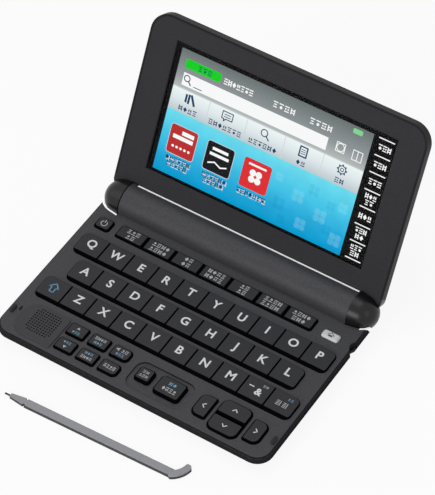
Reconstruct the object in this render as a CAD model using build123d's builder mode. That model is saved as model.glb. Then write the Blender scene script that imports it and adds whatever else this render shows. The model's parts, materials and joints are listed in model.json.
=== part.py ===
from build123d import *
from math import asin, atan, atan2, cos, degrees, hypot, radians, sin
import os

# Clamshell electronic dictionary: a keyboard base, a display lid that turns on the base's rear
# barrel, and a separate stylus.  X runs along the hinge, Y to the back, Z up.  The origin is the
# middle of the whole part, with the lid open and the stylus in front of the base, on the surface
# that it stands on.  All sizes are millimetres.

os.makedirs("parts", exist_ok=True)

# ------------------------------------------------------------------ driving dimensions: the base
case_width = 148.0
hinge_to_front = 96.2        # hinge axis to the base's front edge
across = case_width / 148.0        # the layout's sizes along X keep their share of the width
along = hinge_to_front / 96.2      # and those along Y their share of the depth
barrel_radius = 9.0          # outside of the battery barrel, which carries the hinge
foot_thickness = 0.7         # the base's underside stands this high
hinge_height = foot_thickness + barrel_radius
parting_height = 5.6         # joint between the upper and the lower case
deck_height = 9.2            # flat keyboard deck
case_corner = 8.0            # front corners in plan
side_inset = 0.3             # draft of the upper wall, parting line to deck
belly_inset = 3.6            # undercut of the lower wall, parting line to underside
deck_edge = 1.0              # bevel round the deck
deck_thickness = 1.5
side_wall = 1.6
floor_thickness = 1.2

# the hinge
barrel_half = case_width / 2 - 11.0    # half length of the barrel between the lid's two ears
barrel_wall = 1.5
ear_gap = 0.3                # barrel end to ear
side_end = 5.2               # side walls end this far before the axis
sole_reach = 3.5             # flat sole behind the axis, for the rear feet
sole_height = 2.3
ear_length = 11.7            # ear's inner face to its tip
ear_radius = barrel_radius + 0.5
ear_tip_radius = ear_radius - 0.6      # ball that ends the ear
lid_running_gap = 0.5        # lid's hollow lower edge round the barrel
cradle_gap = 0.4             # ear to the bright cradle trim
trim_thickness = 0.8
pin_radius = 2.0
pin_running_gap = 0.05
hinge_unit_radius = 4.5
hinge_unit_length = 7.0
pin_reach = 6.5              # how far the pin enters the ear
pin_length = 14.3
pin_hole_gap = 0.6           # pin to the barrel's end wall

# the lid
lid_open_angle = 118.0       # 0 is closed
lid_length = 96.1            # hinge axis to the lid's free edge
lid_face_offset = 1.0        # lid's inner face lies this far above the axis when it is closed
lid_thickness = 6.0
lid_corner = 10.0
lid_rim = 1.1                # rear cover's rim that shows round the bezel
lid_edge = 1.5               # bevel round the back
bezel_thickness = 1.2
window_left = 15.2 - case_width / 2
window_right = case_width / 2 - 14.4
window_top = lid_length - 10.7         # distance from the hinge axis
window_bottom = 19.0
window_bevel = 0.4
glass_recess = 0.8           # bezel's face to the glass
glass_thickness = 0.7
glass_lap = 1.5              # glass behind the bezel, each side
rear_wall = 1.2
lid_foot_solid = 12.5        # the lid is solid up to here, where the hinge loads enter
lid_heel = 2.0               # lower end of the lid's side beside the ears
lid_heel_corner = 6.0
lid_wrap_angle = 36.0        # the rear cover's heel follows the barrel this far
lid_heel_slope = 2.6         # the heel's outer slope, measured up the lid
ear_seat_gap = 0.1           # bezel to the ears
bezel_gap = 0.05
bezel_ledge = 1.1
screen_margin = 2.2          # display module beyond the window, each side
screen_gap = 0.05            # glass in the bezel's rebate

# keys
key_rise = 1.2               # key tops above the deck
key_travel = 0.8
key_clearance = 0.2          # cap to the edge of its opening
key_gap = 0.35               # between two caps of one row
key_edge = 0.3               # bevel round the letter keys
cap_edge = 0.8               # bevel round the other keys
key_skirt = 1.5              # front slope of the letter keys
key_flange = 0.7             # retaining lip under the deck
key_flange_thickness = 0.6
press_pad = (6.0, 3.4)       # membrane pad under a key
flange_gap = 0.05
row_end_corner = 3.0

letter_pitch = 13.93 * across
letter_depth = 11.48 * along
row_pitch = 15.47 * along
first_letter_x = -61.8 * across    # centre of the first key in the outer two rows
first_row_rear = 69.45 * along     # rear edge of the first letter row, from the base's front edge

function_pitch = 15.59 * across
function_depth = 8.0 * along
function_count = 7
first_function_x = -48.9 * across
function_row_rear = 82.3 * along
function_corner = 1.4

quick_width = 10.2 * across
quick_depth = 7.3 * along
quick_pitch_x = 12.1 * across
quick_pitch_y = 9.6 * along
quick_columns = 3
first_quick_x = -37.9 * across
quick_rear = 21.6 * along
quick_corner = 2.6           # outer corners of the block

power_size = (8.4 * across, 7.3 * along)
power_centre = (-64.3 * across, 77.8 * along)
power_corner = 1.8
home_size = (8.8 * across, 4.4 * along)
home_corner = 1.2
home_centre = (61.7 * across, 77.1 * along)

dish_size = (31.4 * across, 16.6 * along)
dish_centre = (11.2 * across, 12.4 * along)
dish_depth = 0.8
dish_corner = 5.0
back_size = (8.2 * across, 7.8 * along)
back_centre = (2.2 * across, 13.5 * along)
back_corner = 1.6
enter_size = (13.8 * across, 10.6 * along)
enter_corner = 2.0
enter_centre = (16.2 * across, 13.1 * along)

arrow_centre = (48.2 * across, 13.1 * along)
side_arrow_size = (8.2 * across, 13.0 * along)
side_arrow_reach = 13.8 * across   # cluster centre to the middle of a side arrow
upper_arrow_size = (15.8 * across, 8.9 * along)
upper_arrow_offset = 4.75 * along
lower_arrow_offset = -4.95 * along
arrow_corner = 3.6
single_corner = 0.7          # small corners of the keys that stand alone
flat_corner = 1.0            # corners up to this size are cut flat

# speaker
island_left = -66.8 * across
island_right = -43.9 * across
island_front = 3.0 * along
island_rear = 22.0 * along
island_corner = 7.5
island_rise = 0.5
island_edge = 0.3
island_sink = 0.8
grille_centre = (-54.0 * across, 13.7 * along)
grille_count = 10
grille_pitch = 1.4
grille_hole = 0.75
grille_gap = 0.05            # grille in its seat
grille_reach = 8.6           # holes stop at this radius, which clips the corners
speaker_radius = 8.8
speaker_thickness = 2.2
speaker_port = (13.9, 2.6)   # side and corner of the square port

# inside
board_thickness = 0.8
board_top = 5.3
membrane_thickness = 0.6
press_gap = 0.05             # membrane dome to the key when it is pressed home
boss_gap = 0.5               # membrane round the bosses
inside_gap = 1.2             # board and membrane to the walls

# batteries: two AA cells in line
cell_radius = barrel_radius - 1.9
cell_nub_radius = 2.75
cell_nub = 1.3
bay_wall = 1.2
hinge_chamber = 7.6          # room for a hinge unit at each end of the barrel
contact_thickness = 0.5
spring_length = 1.5
bump_length = 1.7
spring_radius = (4.5, 2.6)   # at the plate, at the cell
bump_radius = 1.8
contact_plate = 9.0
bay_disc_gap = 0.1           # bay's end discs in the barrel's bore
door_gap = 0.2
door_lap = barrel_radius - 1.6         # door's front edge, before the hinge axis
door_shell = 1.4
door_drop = 0.9              # door's upper edge below the axis
door_travel = 9.0
door_tab_size = (7.0, 3.2, 0.8)
door_tab_clearance = 0.1     # tabs pass this far under the cells
door_tab_reach = 1.9         # tab in front of the door's edge
door_tab_gap = 0.2
door_tab_spacing = 34.0

# stylus and its silo
stylus_bar = (4.3, 1.8)      # width, thickness
stylus_bar_length = 78.4     # neck to the middle of the head's curve
stylus_nose_length = 7.6
stylus_nose_tip_radius = 0.95
stylus_tip_length = 3.0
stylus_tip_radius = 0.45
stylus_neck_length = 0.8
stylus_neck_width = 2.6
stylus_head_height = 3.2
stylus_head_radius = 11.7
stylus_head_width = 2.7
stylus_head_centre = (72.7, 7.7)   # centre of the head's curve, from the neck
stylus_head_angles = (-66.0, -6.0)
stylus_head_round = 0.9
stylus_nose_width = 4.0
stylus_edge = 0.4
stylus_turn = 1.9            # degrees, as it lies in front of the base
stylus_neck_place = (-38.6, -22.9)  # neck, from the middle of the base's front edge
silo_centre = 75.2 * along
silo_gap = 0.2
silo_wall = 0.5
silo_height = 2.6
silo_length = 90.5
silo_mouth = case_width / 2 - 4.9      # open end of the silo, from the middle
scoop_radius = 4.2           # finger scoop over the silo's mouth
scoop_centre = (case_width / 2 + 1.9, 77.6 * along)
scoop_wall = 1.2

# small parts
bumper_size = (1.8, 4.4)
bumper_rise = 1.25
bumper_edge = 0.3
bumper_centre = (case_width / 2 - 2.8, 13.7 * along)
strip_angles = (57.5, 64.0)  # bright strip on the barrel, from +Y upwards
strip_rise = 0.2
strip_depth = 0.35
seat_gap = 0.03              # glued trims in their seats
strip_ends = (3.2 - barrel_half, barrel_half - 0.6)
arc_height = 2.8             # height of the bright arcs in the cradles
arc_rise = 0.1               # above the deck
front_boss = (case_width / 2 - 8.0, 22.0 * along)
rear_boss = (17.0 * across, hinge_to_front - barrel_radius - 2.4)
boss_radius = 1.6
lower_boss_radius = 2.3
screw_recess = (1.8, 1.1)    # radius and depth of the recess for a screw's head, under each boss
foot_radius = 4.0
front_foot_place = (case_width / 2 - 16.0, 9.0)
rear_foot_size = (8.0, 5.0)
rear_foot_x = barrel_half - 5.0
rear_foot_offset = -1.0      # from the hinge axis

# ------------------------------------------------------------------ derived places
# The lid's rear edge is the part's rearmost point, the stylus bar's near side its foremost one.
lid_lean = radians(lid_open_angle)
lid_back = -lid_face_offset - lid_thickness
lid_overhang = -(lid_length - lid_edge) * cos(lid_lean) - lid_back * sin(lid_lean)
stylus_reach = stylus_bar[0] / 2 - stylus_neck_place[1]
front_y = (stylus_reach - hinge_to_front - lid_overhang) / 2
hinge_y = front_y + hinge_to_front
case_depth = hinge_to_front + barrel_radius
half_width = case_width / 2
wall_height = deck_height - parting_height
belly_height = parting_height - foot_thickness
upper_taper = degrees(atan(side_inset / wall_height))
lower_taper = degrees(atan(belly_inset / belly_height))
floor_top = foot_thickness + floor_thickness
deck_under = deck_height - deck_thickness
board_bottom = board_top - board_thickness
membrane_top = board_top + membrane_thickness
key_top = deck_height + key_rise
flange_top = deck_under - flange_gap
key_bottom = flange_top - key_flange_thickness
pad_top = key_bottom - key_travel - press_gap
barrel_bore = barrel_radius - barrel_wall
bore_half = barrel_half - side_wall
bay_half = bore_half - hinge_chamber - bay_wall
cradle_reach = cradle_gap + trim_thickness
side_depth = hinge_to_front - side_end
cavity_depth = hinge_to_front - ear_radius - cradle_reach - side_wall
bridge_depth = hinge_to_front - barrel_radius
ear_inner = barrel_half + ear_gap
bay_wall_inner = hinge_y - door_lap - door_gap
pin_hole_radius = pin_radius + pin_hole_gap
boss_places = [(side * x, distance) for x, distance in (front_boss, rear_boss) for side in (-1, 1)]
hinge_axis = Axis((0, hinge_y, hinge_height), (1, 0, 0))
front_plane = Plane((0, front_y, 0))
hinge_side_plane = Plane(origin=(0, hinge_y, hinge_height), x_dir=(0, 1, 0), z_dir=(1, 0, 0))

# The lid is drawn as it stands open: local X along the hinge, Y up the lid, Z out of its inner face.
lid_plane = Plane(
    origin=(0, hinge_y, hinge_height), x_dir=(1, 0, 0), z_dir=(0, -sin(lid_lean), -cos(lid_lean))
)
lid_face = lid_plane.offset(-lid_face_offset)
lid_side_plane = Plane(origin=lid_plane.origin, x_dir=lid_plane.y_dir, z_dir=(1, 0, 0))
lid_normal = Axis(lid_plane.origin, lid_plane.z_dir)


def place(x, distance, height=0.0):
    """Point of the base from its distance behind the front edge."""
    return (x, front_y + distance, height)


def round_corners(width, depth, corners):
    """Round the rectangle in work: front left, front right, rear right, rear left.

    Corners of radius 0 stay sharp.
    """
    signs = ((-1, -1), (1, -1), (1, 1), (-1, 1))
    for (x_sign, y_sign), radius in zip(signs, corners):
        corner = vertices().sort_by_distance((x_sign * width / 2, y_sign * depth / 2))[0]
        if radius > flat_corner:
            fillet(corner, radius)
        elif radius > 0:
            chamfer(corner, radius)


def same_corners(radius):
    return (radius, radius, radius, radius)


# ------------------------------------------------------------------ the keyboard's layout
# One entry per key: centre x, centre distance from the front edge, width, depth, corner radii and
# the lip that holds it under the deck (at its sides, at its front and rear).
row_lip = (0.0, key_flange)
side_lip = (key_flange, 0.0)
letter_rows = [
    (0.0, "q w e r t y u i o p"),
    (letter_pitch / 2, "a s d f g h j k l"),
    (0.0, "shift z x c v b n m dash delete"),
]


def key_row(first_x, middle, count, pitch, depth, end_corner):
    """Keys of one row, with only the row's outer corners rounded, and the slot they stand in."""
    keys = []
    for column in range(count):
        left = end_corner if column == 0 else 0
        right = end_corner if column == count - 1 else 0
        corners = (left, right, right, left)
        keys.append((first_x + column * pitch, middle, pitch - key_gap, depth, corners, row_lip))
    slot_x = first_x + (count - 1) * pitch / 2
    slot = (slot_x, middle, count * pitch - key_gap, depth, same_corners(end_corner))
    return keys, slot


single_keys = {}
deck_openings = []
for row, (shift, names) in enumerate(letter_rows):
    names = names.split()
    depth = letter_depth + key_skirt
    middle = first_row_rear - depth / 2 - row * row_pitch
    row_start = first_letter_x + shift
    keys, slot = key_row(row_start, middle, len(names), letter_pitch, depth, row_end_corner)
    deck_openings.append(slot)
    for name, key in zip(names, keys):
        single_keys[f"key_{name}"] = key

function_middle = function_row_rear - function_depth / 2
function_keys, slot = key_row(
    first_function_x, function_middle, function_count, function_pitch, function_depth, function_corner
)
deck_openings.append(slot)

quick_keys = []
for column in range(quick_columns):
    for row in range(2):
        outer = quick_corner if column == quick_columns - 1 else single_corner
        corners = (single_corner, outer, outer, single_corner)
        x = first_quick_x + column * quick_pitch_x
        middle = quick_rear - quick_depth / 2 - row * quick_pitch_y
        quick_keys.append((x, middle, quick_width, quick_depth, corners, side_lip))

arrow_x, arrow_y = arrow_centre
left_corners = (arrow_corner, single_corner, single_corner, arrow_corner)
right_corners = (single_corner, arrow_corner, arrow_corner, single_corner)
upper_corners = (single_corner, single_corner, arrow_corner, arrow_corner)
lower_corners = (arrow_corner, arrow_corner, single_corner, single_corner)
lone_keys = {
    "key_power": (*power_centre, *power_size, same_corners(power_corner), side_lip),
    "key_home": (*home_centre, *home_size, same_corners(home_corner), side_lip),
    "key_back": (*back_centre, *back_size, same_corners(back_corner), side_lip),
    "key_enter": (*enter_centre, *enter_size, same_corners(enter_corner), side_lip),
    "key_left": (arrow_x - side_arrow_reach, arrow_y, *side_arrow_size, left_corners, side_lip),
    "key_right": (arrow_x + side_arrow_reach, arrow_y, *side_arrow_size, right_corners, side_lip),
    "key_up": (arrow_x, arrow_y + upper_arrow_offset, *upper_arrow_size, upper_corners, side_lip),
    "key_down": (arrow_x, arrow_y + lower_arrow_offset, *upper_arrow_size, lower_corners, side_lip),
}
single_keys.update(lone_keys)
for name, (x, middle, width, depth, corners, lip) in lone_keys.items():
    if name not in ("key_up", "key_down"):
        deck_openings.append((x, middle, width, depth, corners))
for x, middle, width, depth, corners, lip in quick_keys:
    deck_openings.append((x, middle, width, depth, corners))
# the upper and the lower arrow share one opening
arrow_span = upper_arrow_offset - lower_arrow_offset + upper_arrow_size[1]
arrow_middle = arrow_y + (upper_arrow_offset + lower_arrow_offset) / 2
deck_openings.append((arrow_x, arrow_middle, upper_arrow_size[0], arrow_span, same_corners(arrow_corner)))
all_keys = list(single_keys.values()) + function_keys + quick_keys


# ------------------------------------------------------------------ shared forms
def ear_form(start, grow):
    """Both ears, which start at x = start and are grown by a clearance: a cone that ends in a ball."""
    radius = ear_radius + grow
    ball = ear_tip_radius + grow
    centre = ear_inner - start + ear_length - ear_tip_radius
    slope = asin(ball / hypot(centre, radius)) - atan2(radius, centre)
    touch = (centre - ball * sin(slope), ball * cos(slope))
    with BuildPart() as ears:
        with BuildSketch(Plane((start, hinge_y, hinge_height))):
            with BuildLine():
                Polyline((centre + ball, 0), (0, 0), (0, radius), touch)
                CenterArc((centre, 0), ball, 0, 90 + degrees(slope))
            make_face()
        revolve(axis=hinge_axis)
        mirror(about=Plane.YZ)
    return ears.part


def strip_section(inner, outer):
    """Adds the section of the barrel's bright strip to the sketch in work, on the hinge's side plane."""
    first, last = (radians(angle) for angle in strip_angles)
    reach = 2 * outer
    Circle(outer)
    Circle(inner, mode=Mode.SUBTRACT)
    corners = [(0, 0), (reach * cos(first), reach * sin(first)), (reach * cos(last), reach * sin(last))]
    Polygon(*corners, align=None, mode=Mode.INTERSECT)


def case_plan(tail=0.0):
    """Adds the case's outline, longer by a tail, to the sketch in work, on the front plane."""
    Rectangle(case_width, side_depth + tail, align=(Align.CENTER, Align.MIN))
    fillet(vertices().group_by(Axis.Y)[0], case_corner)


def pocket_plan(gap=0.0):
    """Adds the hollow under the keys, less a gap, to the sketch in work, on the front plane."""
    edge = side_wall + gap
    with Locations((0, edge)):
        Rectangle(case_width - 2 * edge, cavity_depth - side_wall - 2 * gap, align=(Align.CENTER, Align.MIN))
    fillet(vertices().group_by(Axis.Y)[0], case_corner - edge)


def bridge_plan(gap=0.0):
    """Adds the hollow in front of the barrel, less a gap, to the sketch in work, on the front plane."""
    with Locations((0, bridge_depth - gap)):
        Rectangle(2 * (bore_half - gap), case_depth / 2, align=(Align.CENTER, Align.MAX))


def island_plan(gap=0.0):
    """Adds the outline of the speaker grille, less a gap, to the sketch in work, on the front plane."""
    with Locations(((island_left + island_right) / 2, (island_front + island_rear) / 2)):
        Rectangle(island_right - island_left - 2 * gap, island_rear - island_front - 2 * gap)
    fillet(vertices().group_by(Axis.X)[0], island_corner - gap)
    chamfer(vertices().group_by(Axis.X)[-1], single_corner)


def bezel_plan(gap=0.0):
    """Adds the outline of the lid's bezel, less a gap, to the sketch in work, on a lid plane."""
    edge = lid_rim + gap
    with Locations((0, lid_heel + edge)):
        Rectangle(case_width - 2 * edge, lid_length - lid_heel - 2 * edge, align=(Align.CENTER, Align.MIN))
    fillet(vertices().group_by(Axis.Y)[-1], lid_corner - edge)
    fillet(vertices().group_by(Axis.Y)[0], lid_heel_corner - edge)


def window_plan(margin=0.0):
    """Adds the window's outline, grown by a margin, to the sketch in work, on a lid plane."""
    with Locations(((window_left + window_right) / 2, (window_bottom + window_top) / 2)):
        width = window_right - window_left + 2 * margin
        Rectangle(width, window_top - window_bottom + 2 * margin)


cradle_form = ear_form(barrel_half, cradle_reach)

# ------------------------------------------------------------------ upper case with the keyboard deck
with BuildPart() as deck_cover:
    with BuildSketch(front_plane.offset(parting_height)):
        case_plan()
    extrude(amount=wall_height, taper=upper_taper)
    chamfer(faces().sort_by(Axis.Z)[-1].edges().sort_by(Axis.Y)[:-1], deck_edge)
    # the barrel's upper shell, as far as the parting line in front and the door's edge behind
    with BuildSketch(hinge_side_plane.offset(-barrel_half)):
        Circle(barrel_radius)
        with Locations((0, parting_height - hinge_height)):
            Rectangle(barrel_radius, barrel_radius, align=(Align.MAX, Align.MAX), mode=Mode.SUBTRACT)
        with Locations((0, -door_drop)):
            Rectangle(barrel_radius, barrel_radius, align=(Align.MIN, Align.MAX), mode=Mode.SUBTRACT)
    extrude(amount=2 * barrel_half)
    # hollow inside: the pocket under the deck and the battery bore
    with BuildSketch(front_plane.offset(parting_height)):
        pocket_plan()
        bridge_plan()
    extrude(amount=deck_under - parting_height, mode=Mode.SUBTRACT)
    with BuildSketch(hinge_side_plane.offset(-bore_half)):
        Circle(barrel_bore)
        Rectangle(2 * barrel_bore, 2 * barrel_bore, align=(Align.CENTER, Align.MAX))
    extrude(amount=2 * bore_half, mode=Mode.SUBTRACT)
    with BuildSketch(hinge_side_plane.offset(-barrel_half)):
        Circle(pin_hole_radius)
    extrude(amount=2 * barrel_half, mode=Mode.SUBTRACT)
    add(cradle_form, mode=Mode.SUBTRACT)
    # wall round the finger scoop, then the scoop itself
    with BuildSketch(front_plane.offset(parting_height)):
        with Locations(scoop_centre):
            Circle(scoop_radius + scoop_wall)
        with Locations((half_width - side_wall / 2, scoop_centre[1])):
            span = 4 * scoop_radius
            Rectangle(span, span, align=(Align.MAX, Align.CENTER), mode=Mode.INTERSECT)
    extrude(amount=deck_under - parting_height)
    with BuildSketch(front_plane.offset(parting_height)):
        with Locations(scoop_centre):
            Circle(scoop_radius)
    extrude(amount=wall_height, mode=Mode.SUBTRACT)
    # dish and openings for the keys
    with BuildSketch(Plane(place(*dish_centre, deck_height))):
        RectangleRounded(*dish_size, dish_corner)
    extrude(amount=-dish_depth, mode=Mode.SUBTRACT)
    for x, middle, width, depth, corners in deck_openings:
        width += 2 * key_clearance
        depth += 2 * key_clearance
        with BuildSketch(Plane(place(x, middle, deck_height))):
            Rectangle(width, depth)
            round_corners(width, depth, [radius + key_clearance for radius in corners])
        extrude(amount=-deck_thickness, mode=Mode.SUBTRACT)
    # seat and port of the speaker grille
    with BuildSketch(front_plane.offset(deck_height)):
        island_plan()
    extrude(amount=-island_sink, mode=Mode.SUBTRACT)
    with BuildSketch(Plane(place(*grille_centre, deck_height))):
        RectangleRounded(speaker_port[0], speaker_port[0], speaker_port[1])
    extrude(amount=-deck_thickness, mode=Mode.SUBTRACT)
    # groove of the bright strip
    with BuildSketch(hinge_side_plane.offset(strip_ends[0] - seat_gap)):
        strip_section(barrel_radius - strip_depth, 2 * barrel_radius)
    extrude(amount=strip_ends[1] - strip_ends[0] + 2 * seat_gap, mode=Mode.SUBTRACT)
    # bosses that clamp the main board
    with BuildSketch(front_plane.offset(board_top)):
        with Locations(*boss_places):
            Circle(boss_radius)
    extrude(amount=deck_under - board_top)
deck_cover.part.label = "deck_cover"
export_step(deck_cover.part, "parts/deck_cover.step")

# ------------------------------------------------------------------ lower case
tab_places = [(-door_tab_spacing, 0), (0, 0), (door_tab_spacing, 0)]
tab_bottom = hinge_height - cell_radius - door_tab_clearance - door_tab_size[2]

with BuildPart() as bottom_cover:
    with BuildSketch(front_plane.offset(parting_height)):
        case_plan(belly_inset)
    extrude(amount=-belly_height, taper=lower_taper)
    # the undercut leaves the rear upright
    with BuildSketch(front_plane.offset(parting_height)):
        with Locations((0, side_depth)):
            Rectangle(case_width, 2 * belly_inset, align=(Align.CENTER, Align.MIN))
    extrude(amount=-belly_height, mode=Mode.SUBTRACT)
    with BuildSketch(front_plane.offset(parting_height)):
        pocket_plan()
    extrude(amount=floor_top - parting_height, taper=lower_taper, mode=Mode.SUBTRACT)
    with BuildSketch(front_plane.offset(parting_height)):
        bridge_plan()
    extrude(amount=floor_top - parting_height, mode=Mode.SUBTRACT)
    # the barrel's two closed ends, with a flat sole for the rear feet
    for start in (-barrel_half, bay_half):
        with BuildSketch(hinge_side_plane.offset(start)):
            Circle(barrel_radius)
            with Locations((0, parting_height - hinge_height)):
                Rectangle(barrel_radius, 2 * barrel_radius, align=(Align.MAX, Align.MIN), mode=Mode.SUBTRACT)
            with Locations((0, -door_drop)):
                Rectangle(barrel_radius, 2 * barrel_radius, align=(Align.MIN, Align.MIN), mode=Mode.SUBTRACT)
            with Locations((-barrel_radius, -barrel_radius)):
                Rectangle(barrel_radius + sole_reach, sole_height, align=(Align.MIN, Align.MIN))
        extrude(amount=barrel_half - bay_half)
    # battery bay, open below, behind its front wall
    with BuildSketch(hinge_side_plane.offset(-bay_half)):
        with Locations((bay_wall_inner - hinge_y, 0)):
            Rectangle(3 * barrel_radius, 2 * barrel_radius, align=(Align.MIN, Align.CENTER))
    extrude(amount=2 * bay_half, mode=Mode.SUBTRACT)
    # chambers of the hinge units, between the bay's end discs and the barrel's end walls
    for start in (-bore_half, bay_half + bay_wall):
        with BuildSketch(hinge_side_plane.offset(start)):
            Circle(barrel_bore)
        extrude(amount=bore_half - bay_half - bay_wall, mode=Mode.SUBTRACT)
    for start in (-bay_half - bay_wall, bay_half):
        with BuildSketch(hinge_side_plane.offset(start)):
            Circle(barrel_bore - bay_disc_gap)
        extrude(amount=bay_wall)
    for start in (-barrel_half, bore_half):
        with BuildSketch(hinge_side_plane.offset(start)):
            Circle(pin_hole_radius)
        extrude(amount=side_wall, mode=Mode.SUBTRACT)
    add(cradle_form, mode=Mode.SUBTRACT)
    # slots for the door's tabs
    with BuildSketch(Plane((0, bay_wall_inner, tab_bottom - door_tab_gap))):
        with Locations(*tab_places):
            Rectangle(door_tab_size[0] + 2 * door_tab_gap, 2 * bay_wall, align=(Align.CENTER, Align.MAX))
    extrude(amount=door_tab_size[2] + 2 * door_tab_gap, mode=Mode.SUBTRACT)
    # bosses that carry the main board, with recesses for the screws' heads below
    with BuildSketch(front_plane.offset(floor_top)):
        with Locations(*boss_places):
            Circle(lower_boss_radius)
    extrude(amount=board_bottom - floor_top)
    with BuildSketch(front_plane.offset(foot_thickness)):
        with Locations(*boss_places):
            Circle(screw_recess[0])
    extrude(amount=screw_recess[1], mode=Mode.SUBTRACT)
    # mouth of the stylus silo
    with BuildSketch(front_plane.offset(floor_top)):
        with Locations((silo_mouth, silo_centre)):
            Rectangle(2 * case_corner, stylus_bar[0] + 2 * silo_gap, align=(Align.MIN, Align.CENTER))
    extrude(amount=parting_height - floor_top, mode=Mode.SUBTRACT)
bottom_cover.part.label = "bottom_cover"
export_step(bottom_cover.part, "parts/bottom_cover.step")

# ------------------------------------------------------------------ battery door, cells and contacts
door_half = bay_half - door_gap

with BuildPart() as battery_door:
    with BuildSketch(hinge_side_plane.offset(-door_half)):
        Circle(barrel_radius)
        Circle(barrel_radius - door_shell, mode=Mode.SUBTRACT)
        with Locations((0, -door_drop - door_gap)):
            Rectangle(barrel_radius, barrel_radius, align=(Align.MIN, Align.MAX), mode=Mode.INTERSECT)
        with Locations((0, -barrel_radius)):
            Rectangle(door_lap, door_shell, align=(Align.MAX, Align.MIN))
    extrude(amount=2 * door_half)
    with BuildSketch(Plane((0, hinge_y - door_lap - door_tab_reach, tab_bottom))):
        with Locations(*tab_places):
            Rectangle(door_tab_size[0], door_tab_size[1], align=(Align.CENTER, Align.MIN))
    extrude(amount=door_tab_size[2])
battery_door.part.label = "battery_door"
export_step(battery_door.part, "parts/battery_door.step")

cell_start = -bay_half + contact_thickness + spring_length
cells_end = bay_half - contact_thickness - bump_length
cell_length = (cells_end - cell_start) / 2
cell_body = cell_length - cell_nub

with BuildPart() as battery_cells:
    for start in (cell_start, cell_start + cell_length):
        with BuildSketch(hinge_side_plane.offset(start)):
            Circle(cell_radius)
        extrude(amount=cell_body)
        with BuildSketch(hinge_side_plane.offset(start + cell_body)):
            Circle(cell_nub_radius)
        extrude(amount=cell_nub)
battery_cells.part.label = "battery_cells"
export_step(battery_cells.part, "parts/battery_cells.step")

with BuildPart() as battery_contacts:
    for start in (-bay_half, bay_half - contact_thickness):
        with BuildSketch(hinge_side_plane.offset(start)):
            Rectangle(contact_plate, contact_plate)
        extrude(amount=contact_thickness)
    with BuildSketch(hinge_side_plane.offset(contact_thickness - bay_half)):
        Circle(spring_radius[0])
    with BuildSketch(hinge_side_plane.offset(cell_start)):
        Circle(spring_radius[1])
    loft()
    with BuildSketch(hinge_side_plane.offset(cells_end)):
        Circle(bump_radius)
    extrude(amount=bump_length)
battery_contacts.part.label = "battery_contacts"
export_step(battery_contacts.part, "parts/battery_contacts.step")

# ------------------------------------------------------------------ hinge: friction units and pins
with BuildPart() as hinge_units:
    with BuildSketch(hinge_side_plane.offset(bore_half - hinge_unit_length)):
        Circle(hinge_unit_radius)
        Circle(pin_radius + pin_running_gap, mode=Mode.SUBTRACT)
    extrude(amount=hinge_unit_length)
    mirror(about=Plane.YZ)
hinge_units.part.label = "hinge_units"
export_step(hinge_units.part, "parts/hinge_units.step")

with BuildPart() as hinge_pins:
    with BuildSketch(hinge_side_plane.offset(ear_inner + pin_reach - pin_length)):
        Circle(pin_radius)
    extrude(amount=pin_length)
    mirror(about=Plane.YZ)
hinge_pins.part.label = "hinge_pins"
export_step(hinge_pins.part, "parts/hinge_pins.step")

# ------------------------------------------------------------------ inside of the base
with BuildPart() as main_board:
    with BuildSketch(front_plane.offset(board_bottom)):
        pocket_plan(inside_gap)
        bridge_plan(inside_gap)
        with Locations(scoop_centre):
            Circle(scoop_radius + scoop_wall + inside_gap, mode=Mode.SUBTRACT)
    extrude(amount=board_thickness)
main_board.part.label = "main_board"
export_step(main_board.part, "parts/main_board.step")

with BuildPart() as keypad_membrane:
    with BuildSketch(front_plane.offset(board_top)):
        pocket_plan(inside_gap)
        bridge_plan(inside_gap)
        with Locations(scoop_centre):
            Circle(scoop_radius + scoop_wall + inside_gap, mode=Mode.SUBTRACT)
        with Locations(*boss_places):
            Circle(boss_radius + boss_gap, mode=Mode.SUBTRACT)
        with Locations(grille_centre):
            Circle(speaker_radius + inside_gap, mode=Mode.SUBTRACT)
    extrude(amount=membrane_thickness)
    with BuildSketch(front_plane.offset(membrane_top)):
        with Locations(*[key[:2] for key in all_keys]):
            Rectangle(*press_pad)
    extrude(amount=pad_top - membrane_top)
keypad_membrane.part.label = "keypad_membrane"
export_step(keypad_membrane.part, "parts/keypad_membrane.step")

with BuildPart() as speaker:
    with BuildSketch(Plane(place(*grille_centre, deck_under))):
        Circle(speaker_radius)
    extrude(amount=-speaker_thickness)
speaker.part.label = "speaker"
export_step(speaker.part, "parts/speaker.step")

with BuildPart() as stylus_holder:
    silo_width = stylus_bar[0] + 2 * silo_gap
    with BuildSketch(front_plane.offset(floor_top)):
        with Locations((silo_mouth, silo_centre)):
            Rectangle(silo_length, silo_width + 2 * silo_wall, align=(Align.MAX, Align.CENTER))
    extrude(amount=silo_height)
    with BuildSketch(front_plane.offset(floor_top)):
        with Locations((silo_mouth, silo_centre)):
            Rectangle(silo_length - silo_wall, silo_width, align=(Align.MAX, Align.CENTER))
    extrude(amount=silo_height - silo_wall, mode=Mode.SUBTRACT)
stylus_holder.part.label = "stylus_holder"
export_step(stylus_holder.part, "parts/stylus_holder.step")

# ------------------------------------------------------------------ speaker grille
with BuildPart() as speaker_grille:
    with BuildSketch(front_plane.offset(deck_height - island_sink)):
        island_plan(grille_gap)
    extrude(amount=island_sink + island_rise)
    chamfer(faces().sort_by(Axis.Z)[-1].edges(), island_edge)
    with BuildSketch(Plane(place(*grille_centre, deck_height + island_rise))):
        first_hole = -(grille_count - 1) / 2 * grille_pitch
        for column in range(grille_count):
            for row in range(grille_count):
                hole_x = first_hole + column * grille_pitch
                hole_y = first_hole + row * grille_pitch
                if hypot(hole_x, hole_y) < grille_reach:
                    with Locations((hole_x, hole_y)):
                        Rectangle(grille_hole, grille_hole)
    extrude(amount=-island_sink - island_rise, mode=Mode.SUBTRACT)
speaker_grille.part.label = "speaker_grille"
export_step(speaker_grille.part, "parts/speaker_grille.step")

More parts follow.
